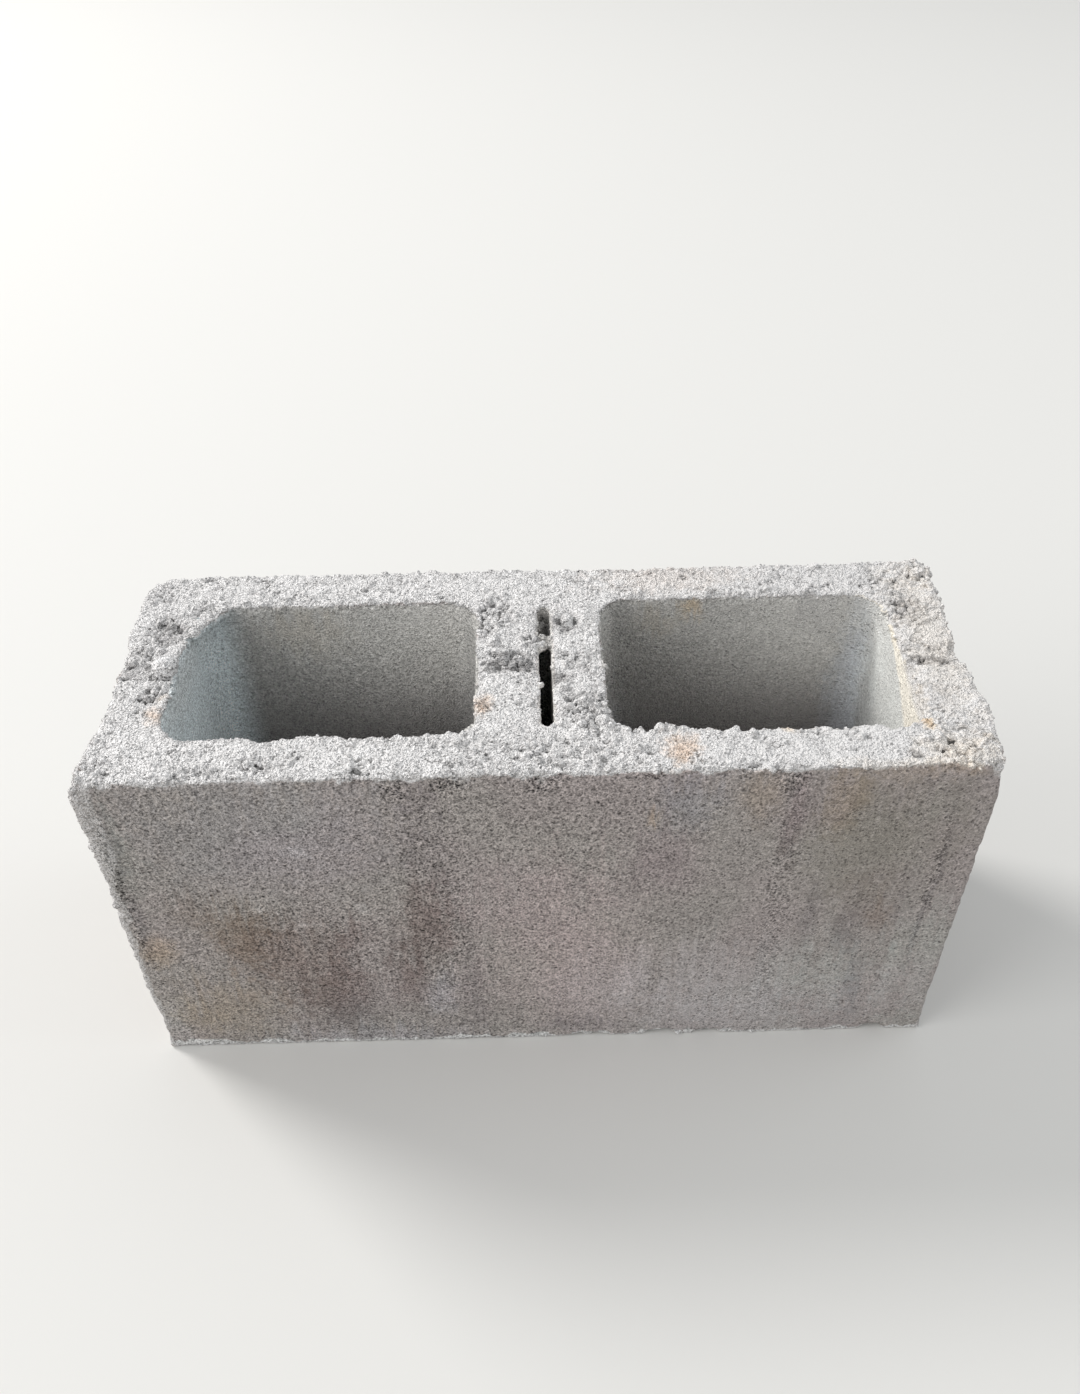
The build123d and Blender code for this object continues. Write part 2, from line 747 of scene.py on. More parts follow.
def scatter(geometry: Any, density: Value, grit: Grit, shapes: Sequence[GrainShape], seed: int) -> Any:
    """Spreads grains over a surface.

    Args:
        geometry: the socket of the surface.
        density: how many grains a square metre gets.
        grit: their sizes.
        shapes: the grains to pick from.
        seed: which of the many like patterns is drawn.

    Returns:
        The socket of the grains as one mesh.
    """
    sheet = density.sheet
    spread = sheet.node("GeometryNodeDistributePointsOnFaces", {"distribute_method": "RANDOM"},
                        {"Mesh": geometry, "Density": density, "Seed": seed})
    chance = random_number(sheet, 0.0, 1.0, seed + 1)
    size = chance ** grit.fines * (grit.largest - grit.smallest) + grit.smallest
    kept = sheet.node("GeometryNodeCaptureAttribute", {}, {"Geometry": spread.outputs["Points"]})
    kept.capture_items.new("FLOAT", "size")
    sheet.tree.links.new(size.socket, kept.inputs["size"])
    size = Value(sheet, kept.outputs["size"])
    points = moved(kept.outputs[0], Place(sheet, spread.outputs["Normal"]) * (size * -grit.sunk))
    points = stored(points, TONE, random_number(sheet, 0.5, 1.5, seed + 4))
    turn = random_triple(sheet, (0.0, 0.0, 0.0), (FULL_TURN, FULL_TURN, FULL_TURN), seed + 2)
    squash = random_triple(sheet, (0.75, 0.75, 0.6), (1.25, 1.15, 1.0), seed + 3)
    grains = [shape_socket(sheet, shape) for shape in shapes]
    placed = sheet.node("GeometryNodeInstanceOnPoints", {}, {
        "Points": points,
        "Instance": sheet_join(sheet, grains),
        "Pick Instance": True,
        "Rotation": turn,
        "Scale": squash * (size * MM),
    })
    return sheet.node("GeometryNodeRealizeInstances", {}, {0: placed.outputs[0]}).outputs[0]


def shape_socket(sheet: NodeSheet, shape: GrainShape) -> Any:
    """One modelled grain as an instance.

    Args:
        sheet: the node sheet.
        shape: the grain, which is modelled when it is first asked for.

    Returns:
        The instance's socket.
    """
    grain = bpy.data.objects.get(shape.name) or shape.model()
    found = sheet.node("GeometryNodeObjectInfo", {}, {"Object": grain}).outputs["Geometry"]
    return sheet.node("GeometryNodeGeometryToInstance", {}, {0: found}).outputs[0]


def sheet_join(sheet: NodeSheet, sockets: Sequence[Any]) -> Any:
    """Joins geometries.

    Args:
        sheet: the node sheet.
        sockets: the geometries' sockets.

    Returns:
        The socket of all of them as one geometry.
    """
    node = sheet.node("GeometryNodeJoinGeometry", {}, {})
    for socket in sockets:
        sheet.tree.links.new(socket, node.inputs[0])
    return node.outputs[0]


@dataclass(frozen=True)
class Mark:
    """A hollow or a lump that the press, the strike-off or a knock has left.

    push is how far the surface moves outward at the zone's centre, and is below zero for a hollow. torn
    is how much finer noise breaks it up.
    """

    zone: Zone
    push: float
    torn: float


def marks(lay: Callable[..., Zone], *rows: Row) -> Tuple[Mark, ...]:
    """The marks that rows describe, each row with the numbers of its zone, its push and its torn."""
    return tuple(Mark(lay(*row[:-2]), *row[-2:]) for row in rows)


@dataclass(frozen=True)
class Crumb:
    """A bit of concrete that is caked to the block, as a rough ball."""

    x: float
    y: float
    z: float
    radius: float
    flat: float

    def model(self, seed: int) -> bpy.types.Object:
        """The crumb, in one of the many like shapes, by its seed."""
        centre = (self.x * MM, self.y * MM, self.z * MM)
        return lump(3, self.radius * MM, 0.12 * self.radius * MM, seed, centre, self.flat)


@dataclass
class BlockBody(ConcretePart):
    """The pressed body, with its cores, slot, bar mark, worn arrises and crumbly struck face."""

    size: BlockSize = SIZE
    first_voxel: float = 1.2
    last_voxel: float = 0.88
    most_triangles: int = 192_000
    overcut: float = 10.0
    corner_facets: int = 7
    crease_angle: float = 24.0

    marks: Tuple[Mark, ...] = marks(
        on_top,
        # Left end web, from back to front
        (-190, 66, 15, 14, -1.4, 0.6), (-181, 30, 14, 15, -2.6, 1.0), (-190, 13, 14, 7, 1.0, 1.0),
        (-178, 2, 11, 12, 2.6, 0.2), (-192, -1, 10, 6, -0.8, 0.3), (-180, -18, 8, 7, -3.4, 0.8),
        (-173, -12, 4, 6, -2.0, 0.6),
        # Centre web: the torn bar mark, the chip beside the slot and small gouges
        (-22, -1, 6, 5, -3.4, 0.6), (-14, 4, 7, 6, 3.0, 0.5), (-7, -3, 6, 4, -2.8, 0.7),
        (-5, 15, 7, 9, 1.6, 0.9), (-25, 33, 8, 14, -1.9, 1.0), (-19, 44, 6, 6, -1.8, 0.8),
        (8.5, -9, 5, 8, -4.6, 0.3), (22, 1, 14, 7, 1.7, 0.9), (14, 32.5, 8, 7.5, -3.8, 0.1),
        (23, 37, 6, 5, 1.2, 0.5), (22, -36, 14, 15, 1.0, 1.0), (12, -22, 5, 5, -1.5, 0.8),
        # Right end web
        (183, 36, 9, 12, -2.4, 1.0), (178, -5, 7, 4, -4.2, 0.7), (190, -4, 7, 4, -4.0, 0.7),
        (184, 3, 14, 5, 1.6, 0.8), (178, -62, 5, 4, -1.3, 0.6), (187, -63, 4.5, 6, -1.3, 0.6),
        (184, -6, 13, 3.5, -2.4, 1.2), (172, -66, 4, 3, -2.0, 1.0), (181, -69, 4, 3, -1.6, 1.0),
        (163, -69, 6, 4, -1.8, 0.8), (183, -52, 8, 4, -1.2, 0.6),
        # Front shell
        (-80, -72, 7, 5, -1.6, 0.8), (-121, -66, 12, 7, -1.5, 1.0), (-150, -71, 14, 6, -0.9, 1.0),
        (59, -48, 9, 4, 1.2, 0.9), (96, -73, 16, 4, -0.9, 1.0),
    ) + marks(
        anywhere,
        # The torn left arris
        (-199, -75, 180, 8, 8, 30, -0.5, 1.6), (-199, -75, 128, 5, 6, 34, -0.6, 1.6),
        (-199, -75, 76, 4, 5, 30, -0.5, 1.4),
        # Outline of the struck face, which the mould's clearance leaves uneven
        (-201, -68, 184, 9, 16, 20, 1.7, 0.9), (-200, -24, 198, 8, 26, 14, -1.8, 0.6),
        (-200, 12, 198, 8, 12, 14, -2.4, 0.8), (-200, 74, 200, 9, 9, 10, -2.4, 0.4),
        (198, 68, 198, 13, 12, 10, 2.0, 1.0), (200, 44, 198, 8, 22, 14, 1.6, 0.6),
        (200, 0, 198, 8, 12, 14, -1.2, 0.6), (200, -40, 198, 8, 14, 14, 1.4, 0.6),
        (200, -74, 198, 10, 10, 20, -2.0, 0.6),
    ) + marks(
        on_front,
        # Holes in the front face
        (111, 188, 3, 3, -2.2, 0.2), (-36, 196, 6, 4, -1.2, 1.0), (0, 195, 6, 4, -1.2, 1.0),
    ) + marks(
        anywhere,
        # Bites out of the bed's front arris
        (61, -75, 0, 11, 6, 6, -2.6, 0.9), (86, -75, 0, 9, 6, 6, -2.2, 0.9),
        (174, -75, 0, 8, 6, 6, -2.4, 0.9), (22, -75, 0, 14, 5, 4, -1.4, 0.9),
    )

    crumbs: Tuple[Crumb, ...] = tuple(Crumb(*row) for row in (
        # A lump at the middle of the left end web
        (-177.5, 2.0, 199.6, 6.6, 0.8),
        # Torn concrete that leans over the left core's back corner
        (-169.0, 29.0, 197.6, 3.2, 0.9), (-167.5, 36.0, 197.2, 4.2, 0.9),
        (-164.0, 42.0, 197.0, 4.6, 0.9), (-158.5, 46.5, 197.6, 3.4, 0.9),
        # The pebble in its hollow, beside the slot
        (14.0, 32.5, 199.6, 3.2, 0.8),
        # What clogs the back of the slot
        (0.8, 14.5, 197.2, 3.2, 0.8), (4.2, 17.5, 195.6, 2.9, 0.8), (1.6, 20.5, 196.6, 2.6, 0.8),
        (2.4, 27.0, 189.0, 3.6, 1.0), (3.4, 33.0, 186.0, 3.4, 1.0), (1.4, 37.5, 191.0, 3.0, 1.0),
        # Lumps along the right core's front rim
        (52.0, -47.4, 199.0, 2.3, 0.5), (57.0, -46.6, 198.9, 2.6, 0.5),
        (62.5, -47.6, 198.8, 2.2, 0.5), (43.0, -48.0, 198.7, 2.1, 0.5),
        (36.5, -47.0, 198.6, 2.2, 0.5), (86.0, -48.2, 198.8, 2.0, 0.5),
        # Lumps on the back corners
        (196.0, 70.0, 200.4, 2.8, 0.8), (190.0, 66.0, 200.8, 2.4, 0.8),
        (200.0, 64.0, 199.0, 2.6, 0.8), (185.0, 71.0, 200.2, 2.0, 0.8),
    ))

    def box(self, name: str, centre: Triple, size: Triple, foot: Optional[Tuple[float, float]] = None,
            corner: float = 0.0) -> bpy.types.Object:
        """A box, for the block or for a tool that cuts it.

        Args:
            name: its name.
            centre: where its middle lies.
            size: its length, width and height.
            foot: how long and wide its underside is, as shares of its size, or None for a plain box.
            corner: the radius of its upright edges.

        Returns:
            The box.
        """
        deselect()
        bpy.ops.mesh.primitive_cube_add(size=1.0, location=[part * MM for part in centre])
        piece = bpy.context.object
        piece.name = piece.data.name = name
        bpy.ops.object.mode_set(mode="EDIT")
        bpy.ops.transform.resize(value=[part * MM for part in size])
        if foot:
            self.pick_underside(piece)
            bpy.ops.transform.resize(value=(*foot, 1.0))
        if corner:
            self.pick_upright_edges(piece)
            bpy.ops.mesh.bevel(offset=corner * MM, segments=self.corner_facets, affect="EDGES")
        bpy.ops.object.mode_set(mode="OBJECT")
        bpy.ops.object.transform_apply(location=True, rotation=True, scale=True)
        return piece

    @staticmethod
    def pick_underside(piece: bpy.types.Object) -> None:
        """Selects the faces of the piece in edit mode that point down."""
        bpy.ops.mesh.select_mode(type="FACE")
        bpy.ops.mesh.select_all(action="DESELECT")
        bpy.ops.object.mode_set(mode="OBJECT")
        for face in piece.data.polygons:
            face.select = face.normal.z < -0.9
        bpy.ops.object.mode_set(mode="EDIT")

    @staticmethod
    def pick_upright_edges(piece: bpy.types.Object) -> None:
        """Selects the edges of the piece in edit mode that run up and down."""
        bpy.ops.mesh.select_mode(type="EDGE")
        bpy.ops.mesh.select_all(action="DESELECT")
        bpy.ops.object.mode_set(mode="OBJECT")
        points = piece.data.vertices
        for edge in piece.data.edges:
            ends = [points[index].co for index in edge.vertices]
            rise = abs(ends[0].z - ends[1].z)
            edge.select = rise > 0.9 * (ends[0] - ends[1]).length
        bpy.ops.object.mode_set(mode="EDIT")

    def blank(self) -> bpy.types.Object:
        """The plain block, the size that the mould gives it, on the floor."""
        size = self.size
        return self.box("block_body", (0, 0, size.height / 2), (size.length, size.width, size.height))

    def former(self, name: str, centre: float, mouth: Tuple[float, float], corner: float,
               draft: float) -> bpy.types.Object:
        """The upright tool that leaves a core or the slot.

        Args:
            name: the tool's name.
            centre: how far along the block it stands.
            mouth: its length and width at the struck face.
            corner: the radius of its upright edges.
            draft: how much each wall leans in towards the bed, in degrees.

        Returns:
            A tapered bar that sticks out above and below the block.
        """
        top = self.size.height + self.overcut
        tall = top + self.overcut
        lean = 2 * tall * tan(radians(draft))
        long, wide = (part + 2 * self.overcut * tan(radians(draft)) for part in mouth)
        return self.box(name, (centre, 0, top - tall / 2), (long, wide, tall),
                        (1 - lean / long, 1 - lean / wide), corner)

    def core_bar(self) -> bpy.types.Object:
        """The bar that carries the core formers, as far as it sinks into the struck face.

        Returns:
            A bar along the block whose lower corners are drawn in.
        """
        size = self.size
        tall = size.bar_mark_depth + self.overcut
        long = size.length + 2 * self.overcut
        wide = size.bar_width + 2 * size.bar_mark_spread * tall / size.bar_mark_depth
        centre = (0, 0, size.height - size.bar_mark_depth + tall / 2)
        return self.box("core_bar", centre, (long, wide, tall), (1.0, size.bar_width / wide))

    @staticmethod
    def cut(piece: bpy.types.Object, tool: bpy.types.Object) -> None:
        """Takes a tool's shape out of the piece, and puts the tool away."""
        apply_modifier(piece, "BOOLEAN", operation="DIFFERENCE", solver="EXACT", object=tool)
        remove(tool)

    def wear(self, at: BlockPlaces, geometry: Any) -> Any:
        """Chips the arrises, tears the rims and leaves the marks of the press.

        Args:
            at: the places on the block.
            geometry: the socket of the even block.

        Returns:
            The socket of the worn block.
        """
        sheet = at.sheet
        struck = at.depth.fall(1.0, 4.5)
        offset = at.outward * (self.arris_wear(at) * at.skin)
        offset = offset + self.rim_wear(at) + self.torn_lip(at) + self.slot_wear(at)
        torn = at.noise(5.0, 3.0, 0.65)
        for mark in self.marks:
            push = at.near(mark.zone) * mark.push * (1.0 + torn * mark.torn * 2.2)
            offset = offset + at.outward * (push * at.skin)
        offset = offset + self.flare(at)
        waves = at.noise(38.0) * 1.3 + at.noise(12.0, 3.0) * 1.1
        pits = at.gaps(at.share(ROUGH_ZONES).at_most(1.2)) * 3.0
        bar_half = self.size.bar_width / 2 + self.size.bar_mark_spread
        beside_bar = abs(at.y).fall(bar_half, bar_half * 2.2) * at.depth.fall(3.5, 6.0)
        crisp = at.near(on_top(-15, -8, 17, 5)) * 0.85
        ragged = at.noise(7.5, 3.0, 0.65) * beside_bar * (1.0 - crisp)
        offset = offset + sheet.joined(0.0, ragged * 2.6, (waves - pits) * struck + ragged * 0.9)
        wall = at.noise(60.0, 1.0) * 0.5 * at.skin * (1.0 - at.arris.at_most(1.0))
        offset = offset + at.outward * (wall * at.depth.rise(4.0, 10.0) * at.z.rise(2.0, 10.0))
        return above_floor(sheet, moved(geometry, offset))

    @staticmethod
    def flare(at: BlockPlaces) -> Place:
        """How the left end spreads towards its front arris, where the mould's plates didn't close.

        Args:
            at: the places on the block.

        Returns:
            The shift of each point.
        """
        spread = (at.z.rise(10.0, 70.0) * 2.6 + 0.8) * (1.0 - at.depth.fall(2.0, 14.0) * 0.35)
        spread = spread * (-at.x).rise(184.0, 199.0) * (-at.y).rise(36.0, 72.0)
        return at.sheet.joined(-(spread * (at.noise(7.0, 3.0, 0.6) * 0.5 + 1.0)), 0.0, 0.0)

    @staticmethod
    def arris_wear(at: BlockPlaces) -> Value:
        """How far each arris is worn back.

        Args:
            at: the places on the block.

        Returns:
            How far outward each point moves, below zero where concrete is lost.
        """
        chips = at.noise(16.0, 3.0, 0.6).rise(0.08, 0.55)
        crumble = at.noise(4.5, 3.0, 0.6)
        upper = at.depth.fall(2.0, 12.0)
        lower = at.z.fall(2.0, 12.0)
        upright = (1.0 - upper) * (1.0 - lower)
        left = at.x.fall(-10.0, 10.0)
        over = at.share(OVERHANG_ZONES).at_most(1.0)
        lost = upper * (1.4 * chips + 0.3 + over * 2.8 - crumble * (2.2 + over * 2.0))
        lost = lost + lower * (1.2 * chips - 0.5 - crumble * 2.2)
        lost = lost + upright * (chips * (1.6 - left * 0.9) + 0.6 - crumble * (1.4 + left * 1.4))
        return -(at.arris * at.arris * lost)

    @staticmethod
    def rim_wear(at: BlockPlaces) -> Place:
        """How the rims of the cores are torn: small bites that lean down and into the wall.

        Args:
            at: the places on the block.

        Returns:
            The shift of each point.
        """
        distance, into_wall = at.nearest_core()
        scallops = at.noise(15.0).rise(-0.2, 0.45) * 2.2
        nibbles = at.noise(4.2, 3.0, 0.65).rise(-0.2, 0.5) * 1.5
        bites = scallops + nibbles - 0.35
        bite = at.apart(distance, at.depth).fall(0.5, 5.0) * bites
        bed_rim = at.apart(distance, at.z).fall(0.5, 4.0) * bites * 0.5
        return (into_wall * 0.75 + (0.0, 0.0, -0.65)) * bite + into_wall * bed_rim

    @staticmethod
    def torn_lip(at: BlockPlaces) -> Place:
        """How the rim of the right core's end wall is torn back to a slope.

        Args:
            at: the places on the block.

        Returns:
            The shift of each point.
        """
        distance, into_wall = at.nearest_core()
        sloped = (1.0 - at.depth / at.lip()).at_least(0.0).at_most(1.0)
        return into_wall * (sloped * distance.fall(0.0, 7.0) * at.x.rise(150.0, 162.0) * 2.2)

    @staticmethod
    def slot_wear(at: BlockPlaces) -> Place:
        """How the slot's left edge is toothed with crumbs, and its right edge nearly straight.

        Args:
            at: the places on the block.

        Returns:
            The shift of each point.
        """
        edge = at.apart(at.slot_wall(), at.depth).fall(0.6, 3.4)
        teeth = at.noise(3.6, 2.0, 0.6) * 2.4 + 0.3
        left = at.x.fall(SIZE.slot_offset - 0.5, SIZE.slot_offset + 0.5)
        return at.sheet.joined(edge * teeth * (left * 0.85 + 0.15), 0.0, edge * -0.7)

    def caked(self, piece: bpy.types.Object) -> None:
        """Sets the larger crumbs on the block, overlapping it, for the next remesh to fuse.

        Args:
            piece: the block.
        """
        balls = [crumb.model(seed) for seed, crumb in enumerate(self.crumbs)]
        choose(piece)
        for ball in balls:
            ball.select_set(True)
        bpy.ops.object.join()

    @staticmethod
    def small_crumbs(at: BlockPlaces, geometry: Any) -> Any:
        """Adds the small crumbs that are caked to the struck face and the rims.

        Args:
            at: the places on the block.
            geometry: the socket of the worn block.

        Returns:
            The socket of the block with its crumbs, which overlap it.
        """
        _, _, up = normal(at.sheet).parts()
        struck = at.depth.fall(2.5, 5.0) * up.rise(0.2, 0.6)
        rim = at.rim().fall(1.5, 4.5)
        edge = at.arris.rise(0.35, 0.8) * at.depth.fall(3.0, 6.0)
        patchy = at.noise(14.0).rise(-0.45, 0.45)
        evenly = (16_000.0 + 34_000.0 * patchy) * at.calm(0.9)
        density = struck * (evenly + 150_000.0 * at.share(ROUGH_ZONES))
        fringe = rim * 80_000.0 * (0.2 + patchy) + edge * 60_000.0
        coarse = scatter(geometry, density, Grit(0.5, 2.3, 2.0, 0.3), CRUMB_SHAPES, 7)
        fine = scatter(geometry, fringe, Grit(0.5, 1.5, 1.6, 0.35), CRUMB_SHAPES, 13)
        return sheet_join(at.sheet, [geometry, coarse, fine])

    @staticmethod
    def roughen(at: BlockPlaces, geometry: Any) -> Any:
        """Gives the struck face its sandy relief, dragged along the block by the strike-off.

        Args:
            at: the places on the block.
            geometry: the socket of the block with its crumbs fused.

        Returns:
            The socket of the finished surface.
        """
        sheet = at.sheet
        struck = at.depth.fall(3.0, 7.0)
        rough = at.share(ROUGH_ZONES)
        dragged = sheet.drift(at.place * (0.7, 1.0, 1.0), 9.0, 2.0)
        distance, _ = sheet.scattered(dragged, 2.7)
        lumps = 0.45 - distance
        sand = at.noise(1.9, 2.0, 0.6)
        crevices = abs(sheet.noise(dragged, 9.0, 3.0, 0.6)).fall(0.0, 0.1)
        crevices = crevices * at.noise(13.0).rise(-0.1, 0.3)
        calm = at.calm(0.5)
        patchy = at.noise(11.0).rise(-0.25, 0.3)
        height = lumps * ((0.14 + patchy * 0.32) * calm + rough * 1.1) - crevices * 1.1
        height = height + sand * (0.55 * calm + rough * 0.4)
        pitted = at.noise(3.4, 2.0, 0.6).rise(0.28, 0.6)
        holes = pitted * at.share(PORE_ZONES) * 0.8 * (-at.y).rise(70.0, 73.0)
        return above_floor(sheet, moved(geometry, normal(sheet) * (height * struck - holes)))

    @staticmethod
    def mark_hollows(at: BlockPlaces, geometry: Any) -> Any:
        """Keeps at each point how far it lies below the ground around it, and how rough that ground is.

        Args:
            at: the places on the block.
            geometry: the socket of the finished surface.

        Returns:
            The socket of the surface with both numbers.
        """
        outward = normal(at.sheet)

        def sunk(steps: int) -> Value:
            """How far a point lies below its surroundings, evened out that many times."""
            node = at.sheet.node("GeometryNodeBlurAttribute", {"data_type": "FLOAT_VECTOR"},
                                 {0: at.place, 1: steps})
            return (Place(at.sheet, node.outputs[0]) - at.place).along(outward)

        marked = stored(above_floor(at.sheet, geometry), HOLLOW, sunk(4) + sunk(22) * 0.45)
        return stored(marked, ROUGH, at.share(ROUGH_ZONES).at_most(1.2))

    def dress(self, piece: bpy.types.Object, finish: bpy.types.Material) -> None:
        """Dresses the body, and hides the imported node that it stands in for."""
        super().dress(piece, finish)
        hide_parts(NODE)

    def build(self) -> bpy.types.Object:
        """Models the body.

        Returns:
            The finished mesh object.
        """
        size = self.size
        piece = self.blank()
        mouth = (size.core_length, size.core_width)
        for side in CoreSide:
            centre = side.value * size.core_centre
            self.cut(piece, self.former(f"{side.name.lower()}_core_former", centre, mouth,
                                        size.core_corner, size.core_draft))
        mouth = (size.slot_width, size.slot_length)
        self.cut(piece, self.former("slot_former", size.slot_offset, mouth, size.slot_corner, 0.0))
        self.cut(piece, self.core_bar())
        apply_modifier(piece, "REMESH", mode="VOXEL", voxel_size=self.first_voxel * MM)
        fill_with_nodes(piece, "wear", self.wear)
        self.caked(piece)
        fill_with_nodes(piece, "small_crumbs", self.small_crumbs)
        apply_modifier(piece, "REMESH", mode="VOXEL", voxel_size=self.last_voxel * MM)
        fill_with_nodes(piece, "roughen", self.roughen)
        triangles = sum(len(face.vertices) - 2 for face in piece.data.polygons)
        log.info("block body before thinning: %d triangles", triangles)
        apply_modifier(piece, "DECIMATE", ratio=self.most_triangles / triangles,
                       use_collapse_triangulate=True)
        fill_with_nodes(piece, "mark_hollows", self.mark_hollows)
        choose(piece)
        bpy.ops.object.shade_smooth_by_angle(angle=radians(self.crease_angle))
        return piece


class Grain:
    """The grain of the concrete: noise at four scales, a mosaic of sand grains, and open pores."""

    def __init__(self, at: BlockPlaces) -> None:
        """Works out the grain.

        Args:
            at: the places on the block.
        """
        sheet = at.sheet
        self.sharp = at.noise(0.92, 1.0)
        self.fine = at.noise(1.7, 2.0, 0.6)
        self.medium = at.noise(6.0, 3.0, 0.6)
        self.broad = at.noise(70.0, 3.0, 0.55)
        _, self.sand = sheet.scattered(at.place, 1.35)
        self.hollow = sheet.kept(HOLLOW)
        own_tone = sheet.kept(TONE)
        self.loose = own_tone.rise(0.1, 0.4)
        self.lot = (own_tone - 1.0) * self.loose
        pored = at.share(PORE_ZONES)
        worn_smooth = (at.x - at.z * 0.4).rise(-60.0, 90.0)
        self.coarse = 0.9 + pored * 0.8 + self.medium * 0.4 - worn_smooth * 0.35
        self.coarse = self.coarse - (-at.x).rise(197.0, 199.5) * 0.38
        distance, lot = sheet.scattered(at.place + (31.0, 7.0, 13.0), 2.1)
        size = 0.22 + pored * 0.12 + self.medium * 0.12 + lot * 0.1
        self.pores = distance.fall(size * 0.6, size.at_least(0.01) * 1.3)
        self.chips = distance.fall(0.2, 0.42) * lot.fall(-0.9, -0.55)
        self.gaps = at.gaps(sheet.kept(ROUGH)) * (1.0 - self.loose)
        wavy = sheet.drift(at.place, 8.0, 2.5)
        lines = abs(sheet.noise(wavy, 6.0)).fall(0.0, 0.13)
        self.cracks = lines * at.noise(9.0).rise(-0.1, 0.3)
        self.plates = self.medium.rise(-0.1, 0.1) + sheet.noise(wavy, 3.4, 1.0).rise(-0.12, 0.12)
        self.even = at.x.rise(10.0, 130.0) * 0.35

    def mottle(self, pale: Value, in_core: Value) -> Value:
        """How much lighter or darker than its tone the concrete is at a point.

        Args:
            pale: how far a point belongs to the torn concrete.
            in_core: how far it belongs to a core's wall.

        Returns:
            The factor.
        """
        grains = (self.fine * 0.34 + self.sand * 0.26 + self.sharp * 1.2) * self.coarse
        grains = grains * (1.0 - in_core * 0.3)
        walls = 1.0 + self.broad * 0.06 + self.medium * 0.09 + grains + self.chips * 0.3
        walls = walls * (1.0 - self.pores * (0.42 - in_core * 0.25))
        specks = self.sharp.fall(-0.36, -0.06) * 0.44 + self.fine.fall(-0.42, -0.12) * 0.22
        specks = specks + self.cracks * 0.26
        struck = 1.13 + self.medium * 0.05 + self.sharp * 0.14 + self.lot * 0.2
        struck = struck - specks * (1.0 - self.even)
        # Painted shade in the hollows and in the gaps between crumbs, with some dirt in the hollows.
        shade = self.hollow.rise(0.2, 0.95) * 0.6 + self.gaps * 0.7
        struck = struck.at_most(1.18) * (1.01 - self.even * 0.5) * (1.0 - shade.at_most(0.78))
        return walls * (1.0 - pale) + struck * pale


@dataclass(frozen=True)
class Stain:
    """A patch of another tone: damp, rust, cement skin, a change in the mix, painted light and painted
    shade.

    tint is multiplied into the concrete, by the zone's strength at its centre. A streaked patch has run
    down the wall.
    """

    zone: Zone
    tint: Paint
    streaked: bool


def stains(lay: Callable[..., Zone], streaked: bool, *rows: Row) -> Tuple[Stain, ...]:
    """The stains that rows describe, each row with its tint and the numbers of its zone."""
    return tuple(Stain(lay(*row[1:]), row[0], streaked) for row in rows)


def tint(red: float, green: float, blue: float) -> Paint:
    """How much of each part of the light a stained surface gives back, next to a clean one."""
    return (red, green, blue, 1.0)


COOL = tint(0.99, 1.03, 1.08)
GREENISH = tint(0.94, 1.00, 0.97)
BLUISH = tint(0.93, 0.97, 1.05)
BROWN = tint(0.76, 0.68, 0.60)
BROWN_GREY = tint(0.81, 0.76, 0.73)
DARK_BROWN = tint(0.70, 0.64, 0.63)
DAMP = tint(0.76, 0.76, 0.78)
PLUM = tint(0.86, 0.82, 0.85)
OLIVE = tint(1.02, 0.96, 0.87)
DARK_OLIVE = tint(0.84, 0.84, 0.80)
RUST = tint(1.12, 0.95, 0.74)
PALE_BLUE = tint(1.14, 1.20, 1.28)
PALE_PINK = tint(1.20, 1.15, 1.155)
PALE_GREEN = tint(1.13, 1.19, 1.19)
PALE_COOL = tint(1.15, 1.19, 1.21)
# Pale cement skin on the right core's walls, lifted further as painted light.
PALE_WHITE_AND_PAINTED_LIGHT = tint(1.15, 1.19, 1.20)
# Painted shade: darkens pits, chips, gouges and the slot where shade falls.
PIT_PAINTED_SHADE = tint(0.60, 0.595, 0.595)
# Painted shade deep in the slot.
SLOT_PAINTED_SHADE = tint(0.30, 0.30, 0.305)
PEACH = tint(1.02, 0.84, 0.70)
CREAM = tint(1.10, 1.055, 0.99)
SHADE = tint(0.77, 0.765, 0.765)
# Cement smears on the front face; on the right core's walls and on the lump of the left end web it is
# painted light.
SMEAR_AND_PAINTED_LIGHT = tint(1.35, 1.38, 1.40)


